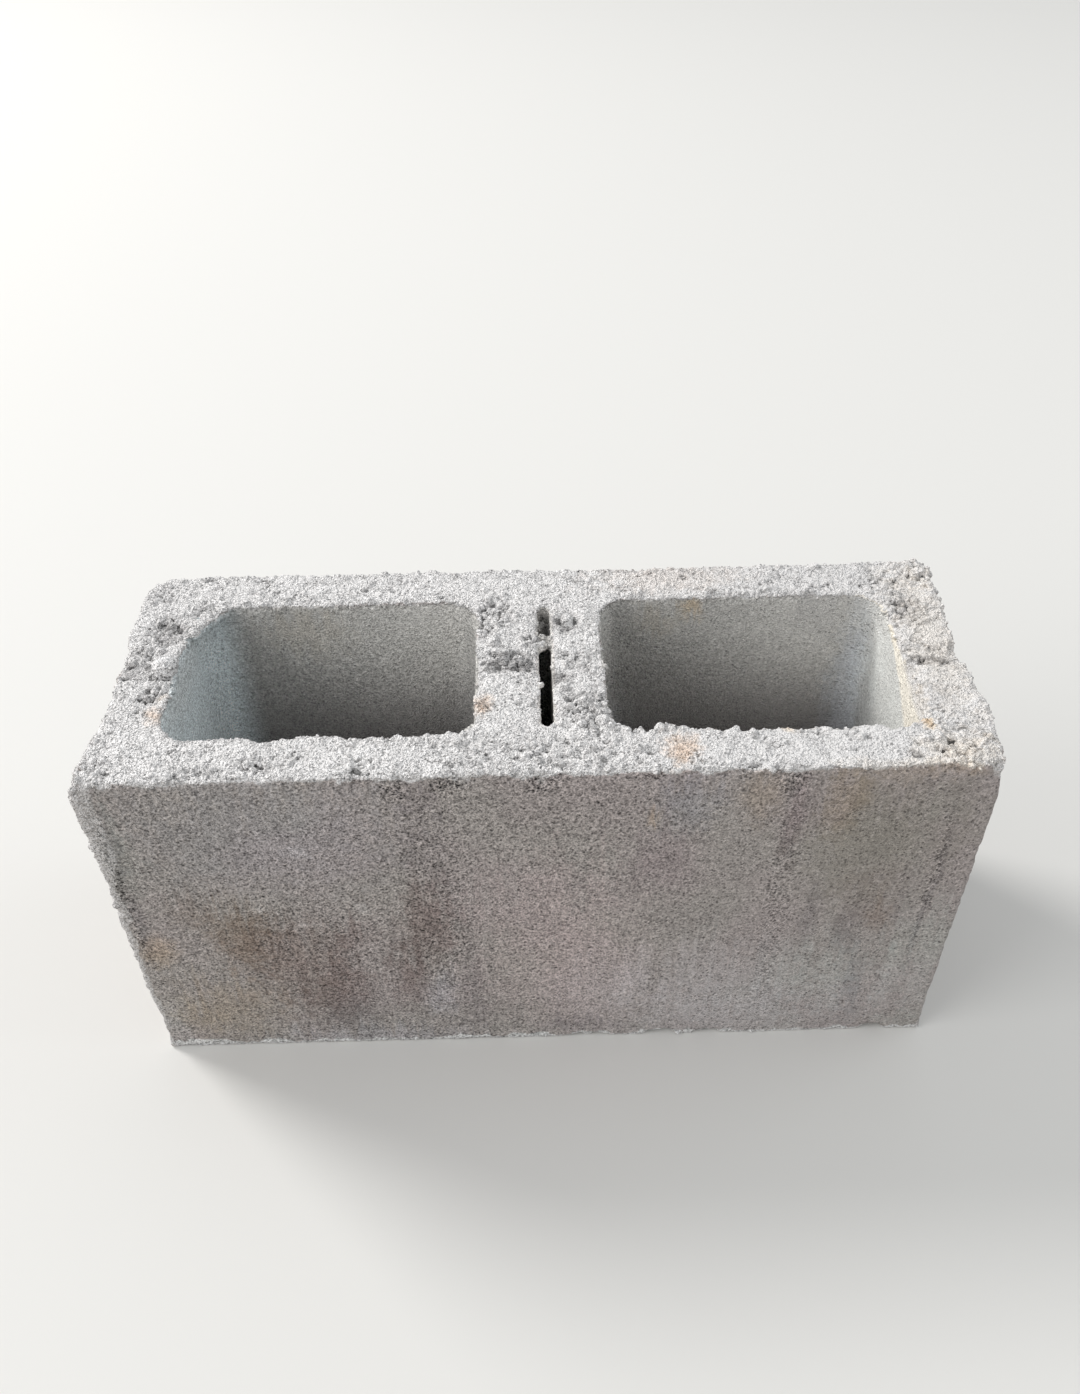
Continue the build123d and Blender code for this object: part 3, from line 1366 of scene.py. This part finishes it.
@dataclass(frozen=True)
class ConcreteFinish:
    """The open-textured concrete of the whole block.

    Moulded walls are grey and finely pitted. The struck face and every torn edge are pale and dusty.
    """

    name: str = "pressed_concrete"
    wall_warm: Paint = paint(188, 179, 177)
    wall_cool: Paint = paint(185, 179, 175)
    # The core walls are pale near the rim and darker deeper down, as painted shade; the left core's end
    # wall is a bluish skin made paler and bluer with painted light.
    core: Paint = paint(210, 208, 204)
    steel_skin_and_painted_skylight: Paint = paint(232, 241, 244)
    deep: Paint = paint(138, 134, 134)
    slot: Paint = paint(228, 225, 221)
    lip: Paint = paint(238, 232, 220)
    struck: Paint = paint(243, 241, 240)
    fringe: Paint = paint(236, 236, 235)
    damp: Paint = tint(0.74, 0.71, 0.69)
    roughness: float = 0.92
    gloss: float = 0.25

    wall_stains: Tuple[Stain, ...] = stains(
        # Front face, from left to right
        on_front, True,
        (COOL, -125, 165, 95, 60, 0.8), (GREENISH, -194, 150, 14, 60, 0.8),
        (OLIVE, -165, 36, 44, 40, 0.9), (OLIVE, -180, 25, 20, 16, 0.5),
        (BROWN_GREY, -168, 112, 16, 22, 0.7), (BROWN, -147, 92, 24, 38, 0.9),
        (DARK_BROWN, -132, 88, 34, 30, 0.25), (SHADE, -150, 168, 50, 32, 0.35),
        (BROWN_GREY, -126, 70, 42, 54, 0.9), (DARK_BROWN, -95, 90, 14, 16, 0.7),
        (DARK_BROWN, -111, 46, 30, 36, 0.8), (DAMP, -104, 24, 22, 22, 0.7),
        (PALE_BLUE, -90, 3, 84, 15, 0.7), (PALE_COOL, -194, 24, 13, 36, 1.0),
        (PLUM, -56, 190, 20, 26, 0.6), (PLUM, -50, 150, 24, 50, 0.45),
        (DARK_BROWN, -57, 98, 23, 44, 1.0), (DARK_BROWN, -67, 58, 15, 36, 0.95),
        (DAMP, -37, 45, 8, 60, 0.65), (PALE_BLUE, -53, 44, 13, 28, 0.8),
        (PALE_PINK, 6, 72, 66, 98, 1.0), (DAMP, 17, 11, 26, 11, 0.8),
        (BLUISH, 63, 180, 24, 26, 0.8), (RUST, 47, 173, 6, 8, 0.6), (PLUM, 52, 146, 26, 34, 0.7),
        (OLIVE, 95, 184, 14, 26, 0.8), (OLIVE, 133, 180, 14, 34, 1.0), (PLUM, 112, 168, 8, 50, 0.9),
        (DARK_OLIVE, 152, 156, 60, 72, 1.0), (DAMP, 127, 100, 8, 38, 0.7),
        (PALE_COOL, 139, 98, 5, 30, 0.4), (DAMP, 148, 90, 10, 34, 0.8),
        (BROWN_GREY, 155, 108, 28, 28, 0.45), (BROWN, 161, 98, 8, 16, 0.5),
        (DAMP, 170, 112, 6, 44, 0.4), (DAMP, 158, 40, 9, 50, 0.75),
        (PALE_GREEN, 176, 55, 10, 70, 0.8), (PALE_GREEN, 192, 55, 14, 84, 1.0),
        (DAMP, 182, 112, 3.5, 80, 0.8), (PALE_COOL, 95, 45, 86, 52, 1.0),
        (PALE_COOL, 95, 5, 120, 46, 0.8), (PALE_GREEN, 150, 48, 34, 46, 0.8),
        (PALE_COOL, 28, 48, 48, 36, 0.5),
    ) + stains(
        # Core walls
        anywhere, True,
        # The pale white patches in the right core: pale cement skin, lifted further by painted light.
        (PALE_WHITE_AND_PAINTED_LIGHT, 172, -5, 140, 12, 100, 120, 1.0), (PALE_BLUE, 164, 44, 110, 15, 18, 130, 1.0),
        (DAMP, 146, 48, 186, 24, 12, 26, 0.5), (BROWN_GREY, -170, 5, 190, 10, 70, 24, 0.6),
        (PALE_WHITE_AND_PAINTED_LIGHT, 40, 48, 40, 34, 12, 110, 1.0), (RUST, 77, 48, 192, 9, 12, 11, 0.8),
        (OLIVE, 60, 48, 186, 16, 12, 15, 0.6), (OLIVE, -118, 48, 182, 34, 12, 22, 0.5),
        (DAMP, 166, 48, 164, 13, 10, 26, 0.7),
    ) + stains(
        on_front, False,
        (RUST, -189, 84, 12, 16, 0.6), (DAMP, -194, 160, 5, 36, 0.9),
        (DAMP, -193, 106, 4.5, 36, 0.9), (SMEAR_AND_PAINTED_LIGHT, -112, 153, 9, 5, 0.8),
        (SMEAR_AND_PAINTED_LIGHT, -136, 113, 7, 5, 0.7), (SMEAR_AND_PAINTED_LIGHT, -88, 111, 5, 5, 0.7), (SMEAR_AND_PAINTED_LIGHT, -114, 101, 5, 4, 0.6),
    ) + stains(
        anywhere, False,
        # Lighter patches in the right core: painted light.
        (SMEAR_AND_PAINTED_LIGHT, 164, 44, 90, 10, 12, 110, 0.45), (SMEAR_AND_PAINTED_LIGHT, 170, 28, 110, 9, 20, 110, 0.55),
        (SMEAR_AND_PAINTED_LIGHT, 34, 42, 96, 20, 20, 76, 0.9),
    )

    struck_stains: Tuple[Stain, ...] = stains(
        on_top, True,
        (PEACH, 60, -62, 11, 14, 0.9), (RUST, 108, -50, 6, 6, 0.7), (RUST, 169, -47, 5, 5, 1.0),
        (BROWN, 169, -47, 3, 3, 0.8), (PEACH, -176, -33, 7, 9, 0.75), (RUST, -174, -20, 5, 7, 0.3),
        (PEACH, -26, -30, 7, 9, 0.75), (PEACH, 65, 66, 56, 20, 0.22),
        (CREAM, 180, -66, 28, 18, 1.0), (CREAM, 188, 10, 24, 90, 0.75),
        (CREAM, 160, -74, 44, 7, 0.8), (CREAM, 192, 62, 20, 20, 0.4), (CREAM, 172, -30, 5, 30, 0.8),
        (SHADE, 181, -32, 12, 14, 0.6), (SHADE, 22, -32, 17, 18, 0.5), (SHADE, -14, 1, 19, 11, 0.6),
        (SHADE, -182, 29, 13, 15, 0.7), (SHADE, -192, 2, 13, 9, 1.0), (SHADE, 183, 34, 11, 15, 0.7),
        (SHADE, 185, -4, 15, 7, 0.6),
    ) + stains(
        on_top, False,
        # A painted highlight on the lump of the left end web and a painted shadow beside it; painted shade
        # in the chip beside the slot, the bar mark's gouges, the pebble's ring and the gouges at the end
        # webs.
        (SMEAR_AND_PAINTED_LIGHT, -178, 2, 8, 8, 0.3), (PIT_PAINTED_SHADE, 9, -9, 7, 10, 1.0), (PIT_PAINTED_SHADE, -15, -2, 17, 7, 0.5),
        (PIT_PAINTED_SHADE, -22, -1, 7, 5.5, 1.0), (PIT_PAINTED_SHADE, -7, -3, 6, 4.5, 0.9), (PIT_PAINTED_SHADE, -168, -1, 6, 8, 0.7),
        (PIT_PAINTED_SHADE, 9, 32, 4, 8, 1.0), (PIT_PAINTED_SHADE, 14, 26.5, 8, 3.6, 1.0), (PIT_PAINTED_SHADE, -180, -18, 7, 5, 0.7),
        (PIT_PAINTED_SHADE, 184, -4, 15, 6.5, 0.85),
    ) + stains(
        # Inside the slot: painted shade
        anywhere, False,
        (PIT_PAINTED_SHADE, 2.5, 18, 196, 7, 7, 10, 0.8), (SLOT_PAINTED_SHADE, 2.5, 33, 188, 6, 17, 20, 1.0),
    )

    def material(self) -> bpy.types.Material:
        """The finish as a material.

        Returns:
            The material, which reads Object coordinates and the numbers that are kept at the points.
        """
        material = bpy.data.materials.new(self.name)
        material.use_nodes = True
        sheet = NodeSheet(material.node_tree)
        where = sheet.node("ShaderNodeTexCoord", {}, {})
        at = BlockPlaces(sheet, Place(sheet, where.outputs["Object"]) * (1 / MM))
        grain = Grain(at)
        pale = self.pale_share(at, grain)
        height = self.relief(at, grain, pale)
        bump = sheet.node("ShaderNodeBump", {},
                          {"Height": height * MM, "Distance": 1.0, "Strength": 1.0})
        shader = sheet.node("ShaderNodeBsdfPrincipled", {}, {
            "Base Color": self.tone(at, grain, pale),
            "Roughness": self.roughness + grain.fine * 0.05 - grain.pores * 0.04,
            "Specular IOR Level": self.gloss,
            "Normal": bump.outputs[0],
        })
        sheet.node("ShaderNodeOutputMaterial", {}, {"Surface": shader.outputs[0]})
        return material

    @staticmethod
    def pale_share(at: BlockPlaces, grain: Grain) -> Value:
        """How far a point belongs to the pale torn concrete.

        Args:
            at: the places.
            grain: the concrete's grain.

        Returns:
            1 on the struck face, the rims and the torn parts of the arrises, and 0 on a moulded wall.
        """
        ragged = at.noise(13.0, 3.0, 0.6)
        edge = at.depth + grain.sharp * 1.0 + grain.fine * 1.0 + grain.medium * 2.4 + ragged * 1.8
        edge = edge - at.share(OVERHANG_ZONES) * 1.7
        torn = at.arris * 1.25 + grain.medium * 0.5 + grain.fine * 0.3
        upright = torn.rise(0.95, 1.15) * (0.3 + at.x.fall(-20.0, 20.0) * 0.5)
        hollow = at.buried().rise(0.9, 1.9) * at.depth.fall(9.0, 13.0)
        strip = 1.0 + at.z.rise(134.0, 158.0) * 4.0 + at.z.rise(96.0, 110.0) * 1.6 + ragged * 6.0
        from_left = at.x + SIZE.length / 2 + grain.fine * 1.4
        left_arris = from_left.fall(strip * 0.85, strip.at_least(0.1) * 1.1) * at.y.fall(-71.0, -67.0)
        left_arris = left_arris * (0.55 + grain.fine * 0.8).at_most(0.9)
        return edge.fall(1.0, 1.7).at_least(upright).at_least(hollow).at_least(left_arris)

    def tone(self, at: BlockPlaces, grain: Grain, pale: Value) -> Colour:
        """The colour of the concrete.

        Args:
            at: the places.
            grain: the concrete's grain.
            pale: how far a point belongs to the torn concrete.

        Returns:
            The colour.
        """
        sheet = at.sheet
        distance, _ = at.nearest_core()
        in_core = distance.fall(0.8, 2.4) * at.depth.rise(0.5, 2.5)
        smooth = in_core * abs(at.x).rise(146.0, 166.0)
        in_slot = at.slot_wall().fall(0.5, 1.5)
        # Painted shade: inside the cores the walls turn from their pale colour near the rim to a darker one
        # lower down.
        painted_light_near_rim = at.depth.fall(10.0, 125.0)
        warmth = at.noise(60.0, 3.0)
        wall = sheet.mixed("MIX", warmth.rise(-0.3, 0.3), self.wall_cool, self.wall_warm)
        wall = wall.toward(self.deep, in_core).toward(self.core, in_core * painted_light_near_rim)
        # The left core's end wall: a smooth bluish cement skin, made paler and bluer with painted light
        # from the right.
        wall = wall.toward(self.steel_skin_and_painted_skylight, smooth * at.x.fall(-20.0, 20.0))
        wall = wall.toward(self.slot, in_slot)
        # Painted light and shade: each core's back wall is lighter towards its right end and darker towards
        # its left end, as light from the left falls into the core.
        lean = (at.x - at.x.rise(-0.01, 0.01) * (2.0 * SIZE.core_centre) + SIZE.core_centre) / 70.0
        back = in_core * at.y.rise(44.0, 47.0) * (1.0 - smooth)
        lean = lean * back * at.depth.fall(30.0, 130.0)
        wall = sheet.mixed("MULTIPLY", 1.0, wall, 1.0 + lean * 0.27)
        column = sheet.noise(at.place * (1.0, 1.0, 0.05), 5.0, 3.0, 0.65)
        damp = sheet.noise(at.place * (1.0, 1.0, 0.45), 42.0, 3.0) + column * 0.3
        damp = damp.rise(0.05, 0.55) * at.y.rise(-74.0, -70.0) * (1.0 - in_core) * (1.0 - in_slot)
        wall = wall.tinted(self.damp, damp * 0.7)
        ragged = column * 0.5 + grain.medium * 0.5 + grain.fine * 0.25
        runs = sheet.joined(0.0, 0.0, column * 26.0 * at.depth.rise(1.0, 8.0) * (1.0 - smooth * 0.8))
        drifted = sheet.drift(at.place, 22.0, 6.0)
        places = {True: drifted + runs, False: drifted}
        spotty = grain.medium * 0.5 + grain.fine * 0.2 - 0.12
        edge = {True: ragged * (1.0 - smooth * 0.7), False: spotty}
        wall = self.stained(wall, self.wall_stains, places, edge)
        lip = at.lip()
        on_lip = (at.depth + grain.fine * 0.8 + grain.medium * 2.0).fall(lip * 0.85, lip * 1.1)
        wall = wall.toward(self.lip, on_lip * distance.fall(2.5, 4.0) * at.x.rise(150.0, 162.0))
        colour = self.with_fringe(at, grain, wall).toward(self.struck, pale)
        colour = self.stained(colour, self.struck_stains, places, edge)
        return sheet.mixed("MULTIPLY", 1.0, colour, grain.mottle(pale, in_core))

    @staticmethod
    def stained(colour: Colour, patches: Sequence[Stain], places: Dict[bool, Place],
                edge: Dict[bool, Value]) -> Colour:
        """The colour with some stains on it.

        Args:
            colour: the concrete's own colour.
            patches: what has stained it.
            places: where each point is read, for streaked stains and for the others.
            edge: how ragged the stains' edges are, for each.

        Returns:
            The stained colour.
        """
        for stain in patches:
            away = (places[stain.streaked] - stain.zone.centre) / stain.zone.spread
            share = (away.length() + edge[stain.streaked]).fall(0.1, 1.0) * stain.zone.strength
            colour = colour.tinted(stain.tint, share)
        return colour

    def with_fringe(self, at: BlockPlaces, grain: Grain, wall: Colour) -> Colour:
        """The wall, with the pale ragged lip of cement along the bed.

        Args:
            at: the places.
            grain: the concrete's grain.
            wall: the wall's colour.

        Returns:
            The colour of both.
        """
        lip = at.sheet.noise(at.place * (1.0, 1.0, 0.2), 14.0, 3.0, 0.65).rise(-0.25, 0.35)
        thick = at.near(anywhere(-181, -75, 0, 24, 20, 20))
        height = 2.2 + lip * 3.6 + thick * 3.8
        ragged = (at.z + grain.fine * 0.8 + grain.medium * 2.4).fall(height * 0.75, height)
        return wall.toward(self.fringe, ragged)

    @staticmethod
    def relief(at: BlockPlaces, grain: Grain, pale: Value) -> Value:
        """The fine relief.

        Args:
            at: the places.
            grain: the concrete's grain.
            pale: how far a point belongs to the torn concrete.

        Returns:
            Its height in millimetres.
        """
        sand = at.noise(0.9, 2.0, 0.6)
        walls = (grain.fine * 0.3 + grain.sharp * 0.6) * grain.coarse + sand * 0.25 + grain.medium * 0.2
        walls = walls - grain.pores * 0.4
        struck = grain.fine * 0.5 + grain.sharp * 1.2 + sand * 0.5 + grain.medium * 0.3
        struck = (struck + grain.plates * 0.4) * (1.0 - grain.even) - grain.cracks * 0.45
        return walls * (1.0 - pale) + struck * pale


class Ground(Enum):
    """Where on the block grit lies."""

    STRUCK_FACE = "struck face"
    RIMS = "rims and arrises"
    ROUGH_ZONES = "rough zones"


@dataclass
class LooseGrit(ConcretePart):
    """Angular grains that lie on one ground, as one mesh. density is their number on a square metre."""

    name: str
    ground: Ground
    seed: int
    density: float
    grit: Grit
    shapes: Tuple[GrainShape, ...]

    def grains(self, at: BlockPlaces, geometry: Any) -> Any:
        """Spreads the grains over the body and leaves only them.

        Args:
            at: the places on the body.
            geometry: the socket of the body.

        Returns:
            The socket of the grains.
        """
        _, _, up = normal(at.sheet).parts()
        patchy = (at.noise(11.0).rise(-0.5, 0.5) + 0.35) * at.calm(0.5)
        struck = at.depth.fall(3.5, 6.5) * up.rise(0.1, 0.5)
        bed = at.arris.rise(0.4, 0.9) * at.z.rise(0.6, 1.2) * at.z.fall(2.5, 5.0)
        left = at.arris.rise(0.35, 0.9) * at.x.fall(-195.0, -190.0) * at.z.rise(60.0, 120.0)
        rims = at.rim().fall(2.0, 5.0) + at.arris.rise(0.3, 0.8) * at.depth.fall(3.0, 7.0)
        rims = rims + bed * 0.8 + left * 0.5
        rough = struck * at.share(ROUGH_ZONES).at_most(1.3) + rims * 0.12 + struck * 0.05
        grounds = {Ground.STRUCK_FACE: struck, Ground.RIMS: rims, Ground.ROUGH_ZONES: rough}
        density = grounds[self.ground] * patchy * self.density
        return above_floor(at.sheet, scatter(geometry, density, self.grit, self.shapes, self.seed))

    def build(self, body: bpy.types.Object) -> bpy.types.Object:
        """Makes the grains.

        Args:
            body: the block that they lie on.

        Returns:
            The grains' mesh object.
        """
        choose(body)
        bpy.ops.object.duplicate()
        piece = bpy.context.object
        piece.name = piece.data.name = self.name
        fill_with_nodes(piece, self.name, self.grains)
        return piece


LOOSE_GRIT: Tuple[LooseGrit, ...] = (
    LooseGrit("struck_face_sand", Ground.STRUCK_FACE, 21, 300_000.0,
              Grit(0.3, 0.9, 1.6, 0.2), SAND_SHAPES),
    LooseGrit("rim_sand", Ground.RIMS, 41, 240_000.0,
              Grit(0.3, 1.0, 1.6, 0.25), SAND_SHAPES),
    LooseGrit("caked_crumbs", Ground.ROUGH_ZONES, 61, 220_000.0,
              Grit(0.6, 2.5, 1.7, 0.2), CRUMB_SHAPES),
)


@dataclass(frozen=True)
class Lamp:
    """A soft round lamp that faces the block.

    place and size, the width of its panel, are in metres, and colour is linear. share is how much of
    the plain light level it gives a surface that faces it, and plain_level is the power in watts that
    gives a surface one metre away that level.
    """

    name: str
    place: Triple
    size: float
    share: float
    colour: Triple
    plain_level: float = 9.87

    def build(self) -> None:
        """Hangs the lamp."""
        data = bpy.data.lights.new(self.name, "AREA")
        data.shape = "DISK"
        data.size = self.size
        aim = Vector((0, 0, SIZE.height / 2 * MM)) - Vector(self.place)
        data.energy = self.share * self.plain_level * aim.length_squared
        data.color = self.colour
        lamp = bpy.data.objects.new(self.name, data)
        bpy.context.collection.objects.link(lamp)
        turn = aim.to_track_quat("-Z", "Y").to_matrix().to_4x4()
        lamp.matrix_world = Matrix.Translation(self.place) @ turn


@dataclass
class Studio:
    """The plain pale floor, the soft light and the camera.

    The floor is pale to the camera, and gives back as little light as open ground. floor_width and
    nearest_seen, the start of the camera's view, are in metres.
    """

    photo_height: int = 1394
    focal_pixels: float = 1177.34
    camera_place: Triple = (-5.9, -428.2, 555.9)
    camera_right: Triple = (0.99968976, -0.02256356, -0.01054837)
    camera_down: Triple = (-0.0228451, -0.66189131, -0.74925163)
    camera_view: Triple = (0.00992391, 0.74926016, -0.66220143)
    sensor: float = 36.0
    nearest_seen: float = 0.01
    floor_width: float = 24.0
    floor_pale: Paint = paint(226, 225, 222)
    floor_yard: Paint = paint(168, 164, 158)
    sky: Paint = (0.97, 0.985, 1.0, 1.0)
    sky_level: float = 0.58
    lamps: Tuple[Lamp, ...] = (
        Lamp("sky_panel", (-3.5, 2.2, 3.4), 1.8, 0.62, (1.0, 0.985, 0.965)),
        Lamp("side_panel", (-3.6, -1.6, 2.6), 3.0, 0.3, (1.0, 0.99, 0.975)),
        Lamp("far_panel", (3.2, 0.6, 3.0), 3.0, 0.12, (0.9, 0.97, 1.0)),
    )

    def camera(self) -> None:
        """Places the camera where the photograph was taken from."""
        data = bpy.data.cameras.new("photo_camera")
        data.sensor_width = self.sensor
        data.lens = self.focal_pixels / self.photo_height * self.sensor
        data.clip_start = self.nearest_seen
        camera = bpy.data.objects.new("photo_camera", data)
        bpy.context.collection.objects.link(camera)
        ways = (self.camera_right, self.camera_down, self.camera_view)
        right, down, view = (Vector(way) for way in ways)
        turn = Matrix((right, -down, -view)).transposed().to_4x4()
        camera.matrix_world = Matrix.Translation(Vector(self.camera_place) * MM) @ turn
        bpy.context.scene.camera = camera

    def floor(self) -> None:
        """Lays the floor, a wide flat plane under the block."""
        deselect()
        bpy.ops.mesh.primitive_plane_add(size=self.floor_width, location=(0, 0, 0))
        floor = bpy.context.object
        floor.name = "floor"
        material = bpy.data.materials.new("floor_paint")
        material.use_nodes = True
        sheet = NodeSheet(material.node_tree)
        path = sheet.node("ShaderNodeLightPath", {}, {})
        camera, glossy, through = (Value(sheet, path.outputs[f"Is {kind} Ray"])
                                   for kind in ("Camera", "Glossy", "Transmission"))
        seen = camera.at_least(glossy).at_least(through)
        pale, yard = (sheet.node("ShaderNodeBsdfPrincipled", {},
                                 {"Base Color": tone, "Roughness": 0.9, "Specular IOR Level": 0.1})
                      for tone in (self.floor_pale, self.floor_yard))
        shader = sheet.node("ShaderNodeMixShader", {},
                            {0: seen, 1: yard.outputs[0], 2: pale.outputs[0]})
        sheet.node("ShaderNodeOutputMaterial", {}, {"Surface": shader.outputs[0]})
        floor.data.materials.append(material)

    def light(self) -> None:
        """Lights the block as an open pale sky does, from above and from behind on the left."""
        world = bpy.data.worlds.new("pale_room")
        world.use_nodes = True
        sheet = NodeSheet(world.node_tree)
        room = sheet.node("ShaderNodeBackground", {}, {"Color": self.sky, "Strength": self.sky_level})
        sheet.node("ShaderNodeOutputWorld", {}, {"Surface": room.outputs[0]})
        bpy.context.scene.world = world
        for lamp in self.lamps:
            lamp.build()

    def build(self) -> None:
        """Sets up the whole studio."""
        self.floor()
        self.light()
        self.camera()
        bpy.context.scene.view_settings.view_transform = "Standard"


def main() -> None:
    """Builds the block and its studio, and reports each piece."""
    logging.basicConfig(level=logging.INFO, format="%(message)s")
    concrete = ConcreteFinish().material()
    block = BlockBody()
    body = block.build()
    pieces = [(block, body)] + [(lot, lot.build(body)) for lot in LOOSE_GRIT]
    for part, piece in pieces:
        part.dress(piece, concrete)
        log.info("%s: %d faces", piece.name, len(piece.data.polygons))
    for shape in CRUMB_SHAPES + SAND_SHAPES:
        remove(bpy.data.objects[shape.name])
    Studio().build()


if __name__ == "__main__":
    main()
